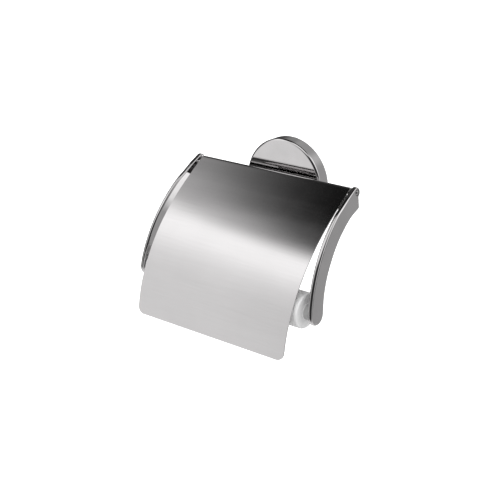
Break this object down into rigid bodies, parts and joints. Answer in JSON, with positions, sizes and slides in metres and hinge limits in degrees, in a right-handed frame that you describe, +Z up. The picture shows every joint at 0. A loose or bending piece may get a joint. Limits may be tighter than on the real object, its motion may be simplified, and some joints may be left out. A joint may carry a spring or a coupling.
{
  "type": "toilet paper holder",
  "caption": "Wall-mounted toilet paper holder: round rosette, two curved side arms, a hinged curved sheet lid and a sprung telescopic roller.",
  "frame": {"origin": "centre of the wall bracket's back face, on the wall plane and on the rosette's axis", "axes": "+Y into the wall, +Z up, +X to the right of a person who faces the wall; the holder stands out along -Y"},
  "size_m": [0.1416, 0.1123, 0.1119],
  "materials": {
    "chrome_polished": "mirror-polished chrome plating",
    "chrome_satin": "softly reflecting chrome-plated sheet",
    "zinc_steel": "zinc-plated steel",
    "spring_steel": "drawn spring wire",
    "white_plastic": "milky moulded plastic"
  },
  "bodies": {
    "holder": {"wall_bracket": "zinc_steel", "wall_screw_upper": "zinc_steel", "wall_screw_lower": "zinc_steel", "rosette_cover": "chrome_polished", "rosette_grub_screw": "zinc_steel", "rosette_stiffener": "zinc_steel", "rosette_neck": "chrome_polished", "frame_screw_left": "zinc_steel", "frame_screw_right": "zinc_steel", "crossbar": "chrome_polished", "left_arm": "chrome_polished", "right_arm": "chrome_polished"},
    "lid": {"lid_panel": "chrome_satin", "lid_hinge_rod": "zinc_steel", "hinge_cap_left": "chrome_polished", "hinge_cap_right": "chrome_polished"},
    "roller": {"roller_sleeve": "white_plastic", "roller_spring": "spring_steel"},
    "plunger": {"roller_plunger": "white_plastic"}
  },
  "joints": [
    {"name": "lid_hinge", "type": "hinge", "parent": "holder", "child": "lid", "pos_m": [0, -0.0198, 0.0085], "axis": [-1, 0, 0], "range_deg": [0, 140]},
    {"name": "roller_spin", "type": "hinge", "parent": "holder", "child": "roller", "pos_m": [0, -0.0678, -0.0551], "axis": [1, 0, 0], "continuous": true},
    {"name": "roller_compress", "type": "slide", "parent": "roller", "child": "plunger", "axis": [1, 0, 0], "range_m": [0, 0.008], "stiffness_N_per_m": 400, "springref_m": -0.01, "deforming": ["roller_spring"]}
  ]
}
